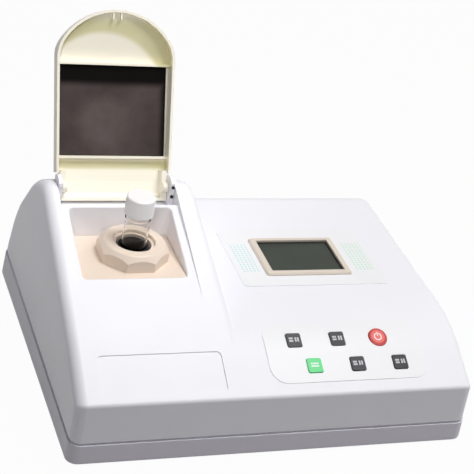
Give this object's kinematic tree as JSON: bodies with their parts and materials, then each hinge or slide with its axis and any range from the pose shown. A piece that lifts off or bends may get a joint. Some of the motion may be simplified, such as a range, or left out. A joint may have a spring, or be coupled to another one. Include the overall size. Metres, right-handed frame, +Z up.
{
  "type": "chemical oxygen demand analyser",
  "caption": "Wedge-shaped bench analyser with a hinged lid open over a well holding a capped vial, and a console with display and keys.",
  "frame": {"origin": "centre of the housing footprint, on the bench under the feet", "axes": "+X to the right seen from the front, +Y to the back, +Z up"},
  "size_m": [0.3514, 0.2833, 0.2749],
  "materials": {
    "housing_upper": "satin, fine mould texture",
    "housing_lower": "satin, fine mould texture",
    "cream_plastic": "satin, slightly yellowed",
    "beige_plastic": "satin",
    "foam": "matte, soft",
    "black_plastic": "matte",
    "cap_plastic": "satin",
    "vial_glass": "clear",
    "sample": "clear liquid",
    "overlay": "satin print sheet",
    "bezel": "satin",
    "window": "clear",
    "lcd": "liquid crystal face",
    "dark_key": "satin",
    "green_key": "satin",
    "red_key": "satin",
    "board": "solder resist",
    "component": "moulded",
    "steel": "zinc plated",
    "spring_steel": "bright wire",
    "dark_screw": "blackened",
    "rubber": "matte",
    "lens_glass": "clear"
  },
  "bodies": {
    "housing": {"upper_shell": "housing_upper", "lower_shell": "housing_lower", "rubber_feet": "rubber", "base_screws": "steel", "well_floor_plate": "beige_plastic", "vial_collar": "beige_plastic", "cell_block": "black_plastic", "light_source": "black_plastic", "source_lens": "lens_glass", "optical_filter": "lens_glass", "photodiode": "component", "detector_board": "board", "lift_spring": "spring_steel", "hinge_bracket_left": "cream_plastic", "hinge_bracket_right": "cream_plastic", "hinge_pins": "steel", "hinge_screws": "dark_screw", "display_bezel": "bezel", "display_window": "window", "lcd_panel": "lcd", "display_board": "board", "board_screws": "steel", "display_overlay": "overlay", "keypad_overlay": "overlay", "keypad_board": "board", "key_switches": "component", "main_board": "board", "board_chips": "component", "power_module": "board", "power_inlet": "black_plastic", "data_port": "steel"},
    "lid": {"lid_shell": "cream_plastic", "lid_foam_pad": "foam"},
    "sleeve": {"vial_sleeve": "black_plastic"},
    "vial": {"vial_glass": "vial_glass", "vial_sample": "sample"},
    "cap": {"vial_cap": "cap_plastic"},
    "key_back_left_body": {"key_back_left": "dark_key"},
    "key_back_middle_body": {"key_back_middle": "dark_key"},
    "power_button_body": {"power_button": "red_key"},
    "key_green_body": {"key_green": "green_key"},
    "key_front_middle_body": {"key_front_middle": "dark_key"},
    "key_front_right_body": {"key_front_right": "dark_key"}
  },
  "joints": [
    {"name": "lid_hinge", "type": "hinge", "parent": "housing", "child": "lid", "pos_m": [-0.1065, 0.056, 0.13957], "axis": [1, 0, 0], "range_deg": [0, 136.2]},
    {"name": "sleeve_drop", "type": "slide", "parent": "housing", "child": "sleeve", "axis": [0, 0, -1], "range_m": [0, 0.0384], "stiffness_N_per_m": 15, "springref_m": -0.03, "deforming": ["lift_spring"]},
    {"name": "vial_lift", "type": "slide", "parent": "sleeve", "child": "vial", "axis": [0, 0, -1], "range_m": [-0.07, 0]},
    {"name": "cap_turn", "type": "hinge", "parent": "vial", "child": "cap", "pos_m": [-0.1002, 0.0025, 0.154], "axis": [0, 0, 1], "range_deg": [0, 450]},
    {"name": "key_back_left_press", "type": "slide", "parent": "housing", "child": "key_back_left_body", "axis": [0, 0.4392, -0.8984], "range_m": [0, 0.0005], "stiffness_N_per_m": 400, "springref_m": -0.001},
    {"name": "key_back_middle_press", "type": "slide", "parent": "housing", "child": "key_back_middle_body", "axis": [0, 0.4392, -0.8984], "range_m": [0, 0.0005], "stiffness_N_per_m": 400, "springref_m": -0.001},
    {"name": "power_button_press", "type": "slide", "parent": "housing", "child": "power_button_body", "axis": [0, 0.4392, -0.8984], "range_m": [0, 0.0005], "stiffness_N_per_m": 400, "springref_m": -0.001},
    {"name": "key_green_press", "type": "slide", "parent": "housing", "child": "key_green_body", "axis": [0, 0.4392, -0.8984], "range_m": [0, 0.0005], "stiffness_N_per_m": 400, "springref_m": -0.001},
    {"name": "key_front_middle_press", "type": "slide", "parent": "housing", "child": "key_front_middle_body", "axis": [0, 0.4392, -0.8984], "range_m": [0, 0.0005], "stiffness_N_per_m": 400, "springref_m": -0.001},
    {"name": "key_front_right_press", "type": "slide", "parent": "housing", "child": "key_front_right_body", "axis": [0, 0.4392, -0.8984], "range_m": [0, 0.0005], "stiffness_N_per_m": 400, "springref_m": -0.001}
  ],
  "couplings": [
    {"joint": "sleeve_drop", "follows": "lid_hinge", "m_per_rad": 0.016149}
  ]
}
